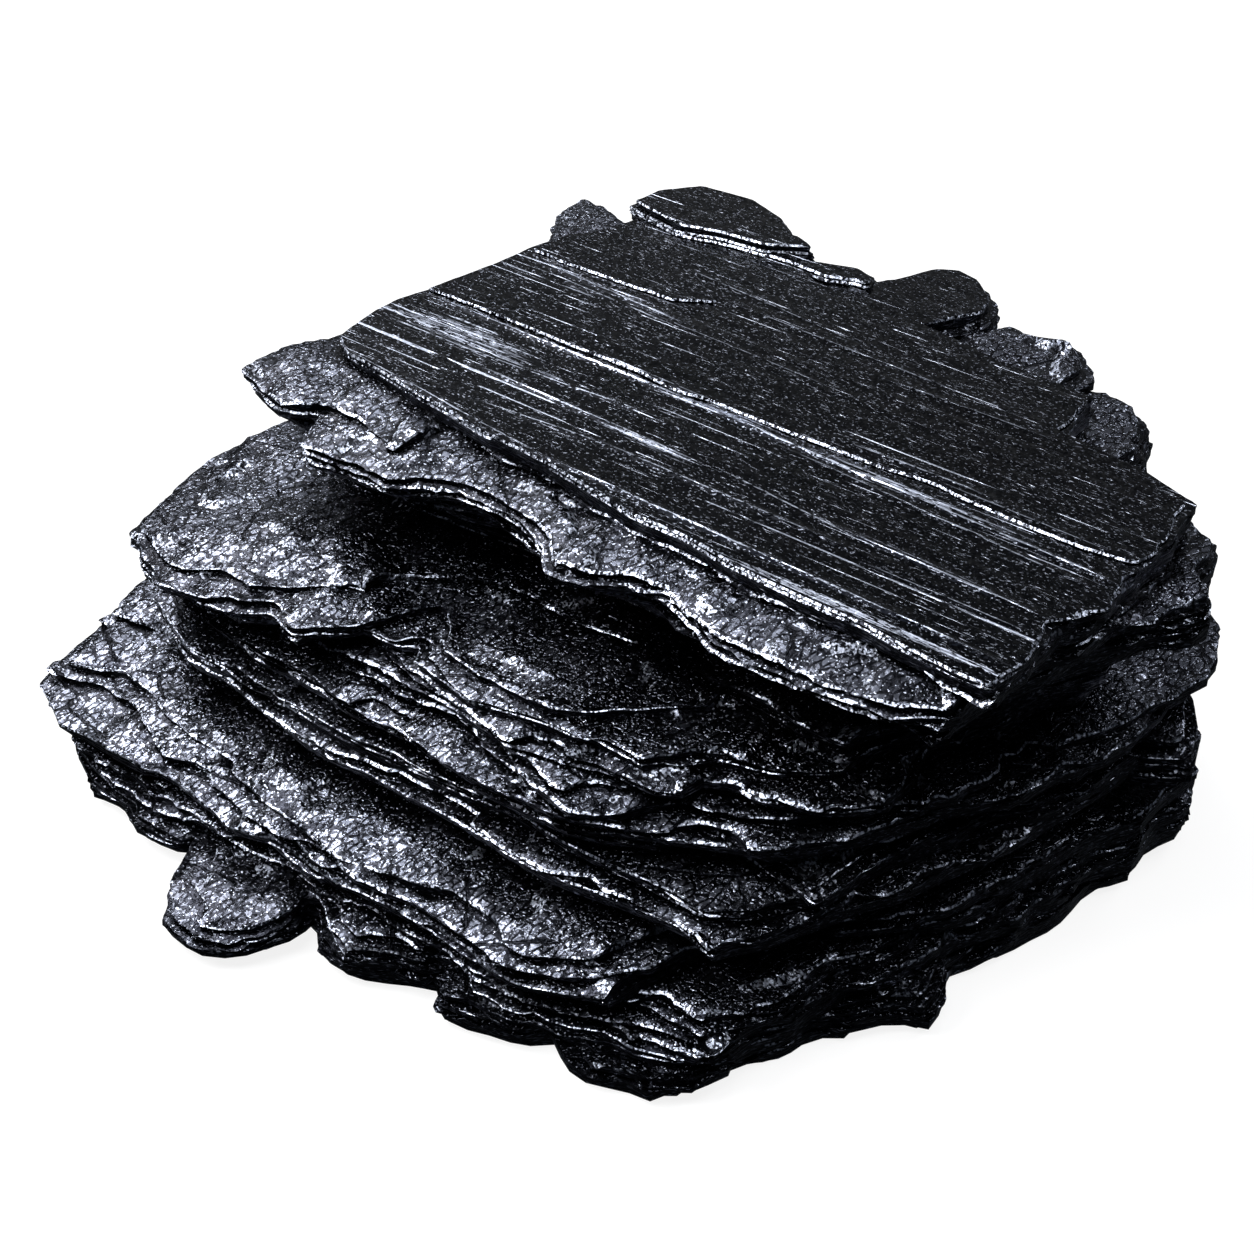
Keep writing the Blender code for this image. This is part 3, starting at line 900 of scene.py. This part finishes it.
def slipped_graphite(finish):
    """Graphite that slipped along its cleavage: a flat, black, finely pitted face. Its striae, specks and
    silvery sheens are painted highlights.
    """
    material, place = graphite("slipped_graphite")
    tree = material.node_tree

    # Each pattern has the size in millimetres that the mark has on real graphite.
    noise = {}
    for name, size, detail in (
        ("long", (70.0, 0.5, 9.0), 1.0),
        ("stria", (14.0, 0.26, 6.0), 2.0),
        ("dash", (1.3, 0.14, 2.0), 1.0),
        ("stroke", (5.0, 0.6, 3.0), 1.0),
        ("worn", (0.8, 0.2, 3.0), 2.0),
        ("strand", (16.0, 0.13, 3.0), 1.0),
        ("wander", (18.0, 60.0, 9.0), 1.0),
        ("speck_glint", (0.32, 0.2, 0.3), 1.0),
        ("patch", (9.0, 6.0, 6.0), 2.0),
    ):
        stretched = add_node(tree, "ShaderNodeVectorMath", {0: place, 1: per_mm(*size)}, operation="MULTIPLY")
        noise[name] = add_node(
            tree, "ShaderNodeTexNoise", {"Vector": stretched, "Scale": 1.0, "Detail": detail})
    # The share of each mark: from none at the first noise value to all of it at the second.
    mark = {}
    for name, none, full in (
        ("long", 0.68, 0.72), ("stria", 0.68, 0.75), ("dash", 0.68, 0.80), ("stroke", 0.47, 0.55),
        ("worn", 0.40, 0.48), ("strand", 0.46, 0.56), ("speck_glint", 0.62, 0.70),
    ):
        mark[name] = add_node(tree, "ShaderNodeMapRange", {0: noise[name], 1: none, 2: full, 3: 0.0, 4: 1.0})
    fine = add_node(tree, "ShaderNodeMath", {0: mark["long"], 1: mark["stria"]}, operation="MAXIMUM")
    fine = add_node(tree, "ShaderNodeMath", {0: fine, 1: mark["stroke"]}, operation="MULTIPLY")
    fine = add_node(
        tree, "ShaderNodeMath", {0: mark["dash"], 1: 0.5, 2: fine}, operation="MULTIPLY_ADD", use_clamp=True)
    raised = fine  # the widest striae are in the mesh
    # The widest striae, drawn as lines in the painted highlight colour.
    x, y = (add_node(tree, "ShaderNodeSeparateXYZ", {0: place}, axis) for axis in ("X", "Y"))
    y = add_node(tree, "ShaderNodeMath", {0: noise["wander"], 1: -0.3 * MM, 2: y}, operation="MULTIPLY_ADD")
    widest = 0.0
    for (start, first), (end, last), bold in STRIAE:
        slope = (last - first) / (end - start)
        away = add_node(tree, "ShaderNodeMath", {0: x, 1: -slope, 2: y}, operation="MULTIPLY_ADD")
        middle = (first - slope * start - 0.15) * MM
        wide = (0.06 + 0.35 * bold) * MM
        away = add_node(tree, "ShaderNodeMath", {0: away, 1: middle}, operation="SUBTRACT")
        away = add_node(tree, "ShaderNodeMath", {0: away}, operation="ABSOLUTE")
        across = add_node(
            tree, "ShaderNodeMapRange", {0: away, 1: wide, 2: 0.4 * wide, 3: 0.0, 4: 0.5 + 3.0 * bold})
        half = (end - start) / 2 * MM
        away = add_node(tree, "ShaderNodeMath", {0: x, 1: (start + end) / 2 * MM}, operation="SUBTRACT")
        away = add_node(tree, "ShaderNodeMath", {0: away}, operation="ABSOLUTE")
        along = add_node(tree, "ShaderNodeMapRange", {0: away, 1: half, 2: 0.6 * half, 3: 0.0, 4: 1.0})
        drawn = add_node(tree, "ShaderNodeMath", {0: across, 1: along}, operation="MULTIPLY")
        widest = add_node(tree, "ShaderNodeMath", {0: drawn, 1: widest}, operation="MAXIMUM")
    widest = add_node(tree, "ShaderNodeMath", {0: widest, 1: mark["worn"]}, operation="MULTIPLY")
    fine = add_node(tree, "ShaderNodeMath", {0: fine, 1: widest}, operation="MAXIMUM", use_clamp=True)
    # The places with a painted silvery sheen, each an ellipse with a ragged rim.
    sheen = 0.0
    for middle, (wide, deep) in SHEENS:
        middle = Vector((*middle, TOP_FACE)) * MM
        away = add_node(tree, "ShaderNodeVectorMath", {0: place, 1: middle}, operation="SUBTRACT")
        away = add_node(
            tree, "ShaderNodeVectorMath", {0: away, 1: per_mm(wide, deep, 1 / MM)}, operation="MULTIPLY")
        away = add_node(tree, "ShaderNodeVectorMath", {0: away}, "Value", operation="LENGTH")
        away = add_node(
            tree, "ShaderNodeMath", {0: noise["stria"], 1: 3.0, 2: away}, operation="MULTIPLY_ADD")
        away = add_node(tree, "ShaderNodeMapRange", {0: away, 1: 2.45, 2: 2.2, 3: 0.0, 4: 1.0})
        sheen = add_node(tree, "ShaderNodeMath", {0: away, 1: sheen}, operation="MAXIMUM")
    strands = add_node(tree, "ShaderNodeMath", {0: mark["strand"], 1: 0.6, 2: 0.4}, operation="MULTIPLY_ADD")
    for broken_by in (mark["worn"], strands):
        sheen = add_node(tree, "ShaderNodeMath", {0: sheen, 1: broken_by}, operation="MULTIPLY")
    # Painted highlight: the specks, the striae and the sheens take the near-white colour.
    bright = add_node(
        tree, "ShaderNodeMath", {0: mark["speck_glint"], 1: 0.6, 2: fine}, operation="MULTIPLY_ADD", use_clamp=True)
    bright = add_node(tree, "ShaderNodeMath", {0: bright, 1: sheen}, operation="MAXIMUM")
    flakes = add_node(
        tree, "ShaderNodeVectorMath", {0: place, 1: per_mm(0.28, 0.28, 0.28)}, operation="MULTIPLY")
    dull = add_node(tree, "ShaderNodeMapRange", {0: noise["patch"], 1: 0.35, 2: 0.65, 3: 0.12, 4: 0.22})
    finish_off(
        tree,
        ((turned_facets(tree, flakes, "3D"), 1.0, 0.045), (raised, 1.0, 0.07)),
        dull,
        ((sheen, 0.15), (bright, 0.22)),
        finish.slipped,
        ((bright, finish.painted_highlight),),
    )
    return material


class GRAPHITE_OT_block(bpy.types.Operator):
    """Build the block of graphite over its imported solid"""

    bl_idname = "graphite.block"
    bl_label = "Graphite block"

    def execute(self, context):
        sizes = context.scene.graphite_block
        rng = np.random.default_rng(SEED)
        solid = welded(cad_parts[NODE].data)
        heights = lamina_heights(solid[3], sizes, rng)
        spans = list(zip(heights, heights[1:]))
        sections = [section(solid, low + SECTION_SHARE * (high - low)) for low, high in spans] + [[]]
        meshes = [
            lamina(loop, sections[seed + 1], low, high, seed, sizes, rng)
            for seed, (low, high) in enumerate(spans)
            for loop in sections[seed]
        ]
        meshes.sort(key=lambda mesh: -len(mesh.vertices))
        block = grown_together(meshes, "graphite_block")
        moved_to(block, bent(arrays(block.data)[0]))
        one_surface(block)
        thinned(block, sizes.triangles)
        moved_to(block, arrays(block.data)[0])
        block.data.materials.clear()
        mark_faces(block)
        for material in (cleaved_graphite, slipped_graphite):
            block.data.materials.append(material(context.scene.graphite_finish))
        block.data.shade_smooth()
        block.data.set_sharp_from_angle(angle=math.radians(SHARP))
        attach(block, "root")
        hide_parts(NODE)
        return {"FINISHED"}


def soft_light(name, direction, distance, size, power, colour):
    """A rectangular area light that faces the middle of the block."""
    light = bpy.data.lights.new(name, "AREA")
    light.shape = "RECTANGLE"
    light.size, light.size_y = size
    light.energy = power
    light.color = colour
    lamp = bpy.data.objects.new(name, light)
    away = Vector(direction).normalized()
    lamp.location = Vector((0, 0, BLOCK_MIDDLE)) * MM + away * distance
    lamp.rotation_euler = (-away).to_track_quat("-Z", "Y").to_euler()
    bpy.context.scene.collection.objects.link(lamp)


def light_table(studio):
    """Matt white acrylic, lit from below."""
    table = bpy.data.materials.new("light_table")
    table.use_nodes = True
    shader = table.node_tree.nodes["Principled BSDF"]
    shader.inputs["Base Color"].default_value = linear(studio.floor)
    shader.inputs["Roughness"].default_value = 0.9
    shader.inputs["Emission Color"].default_value = (1.0, 1.0, 1.0, 1.0)
    shader.inputs["Emission Strength"].default_value = studio.glow
    return table


class GRAPHITE_OT_studio(bpy.types.Operator):
    """Lay the floor, hang the lights and place the camera"""

    bl_idname = "graphite.studio"
    bl_label = "Studio"

    def execute(self, context):
        studio = context.scene.graphite_studio
        bpy.ops.mesh.primitive_plane_add(size=6.0, location=(0, 0, 0))
        floor = context.object
        floor.name = "floor"
        floor.data.materials.append(light_table(studio))
        floor.visible_glossy = False  # so that the walls reflect a dark room
        for name, (direction, distance, size, colour) in LIGHTS.items():
            soft_light(name, direction, distance, size, getattr(studio, name), colour)
        world = bpy.data.worlds.new("room")
        world.use_nodes = True
        room = world.node_tree.nodes["Background"]
        room.inputs["Color"].default_value = (0.8, 0.88, 1.0, 1.0)
        room.inputs["Strength"].default_value = studio.room
        context.scene.world = world
        camera = bpy.data.cameras.new("camera")
        camera.lens = 70
        camera.sensor_width = 36
        camera.clip_start = 10 * MM
        eye = bpy.data.objects.new("camera", camera)
        turn, rise = (math.radians(angle) for angle in CAMERA_ANGLES)
        back = Vector((math.sin(turn) * math.cos(rise), -math.cos(turn) * math.cos(rise), math.sin(rise)))
        eye.location = (Vector(CAMERA_AIM) + back * CAMERA_DISTANCE) * MM
        eye.rotation_euler = (-back).to_track_quat("-Z", "Y").to_euler()
        context.scene.collection.objects.link(eye)
        context.scene.camera = eye
        context.scene.view_settings.view_transform = "Standard"
        return {"FINISHED"}


class GRAPHITE_PT_panel(bpy.types.Panel):
    """The block's settings and the buttons that build it"""

    bl_idname = "GRAPHITE_PT_panel"
    bl_label = "Graphite specimen"
    bl_space_type = "VIEW_3D"
    bl_region_type = "UI"
    bl_category = "Graphite"

    def draw(self, context):
        for settings, operator in (
            (context.scene.graphite_block, "graphite.block"),
            (context.scene.graphite_finish, None),
            (context.scene.graphite_studio, "graphite.studio"),
        ):
            for name in settings.__annotations__:
                self.layout.prop(settings, name)
            if operator:
                self.layout.operator(operator)


SETTINGS = {
    "graphite_block": GraphiteBlockSettings,
    "graphite_finish": GraphiteFinishSettings,
    "graphite_studio": GraphiteStudioSettings,
}
CLASSES = (*SETTINGS.values(), GRAPHITE_OT_block, GRAPHITE_OT_studio, GRAPHITE_PT_panel)


def register():
    for each in CLASSES:
        bpy.utils.register_class(each)
    for name, each in SETTINGS.items():
        setattr(bpy.types.Scene, name, bpy.props.PointerProperty(type=each))


def unregister():
    for name in SETTINGS:
        delattr(bpy.types.Scene, name)
    for each in reversed(CLASSES):
        bpy.utils.unregister_class(each)


def main():
    register()
    bpy.ops.graphite.block()
    bpy.ops.graphite.studio()


if __name__ == "__main__":
    main()
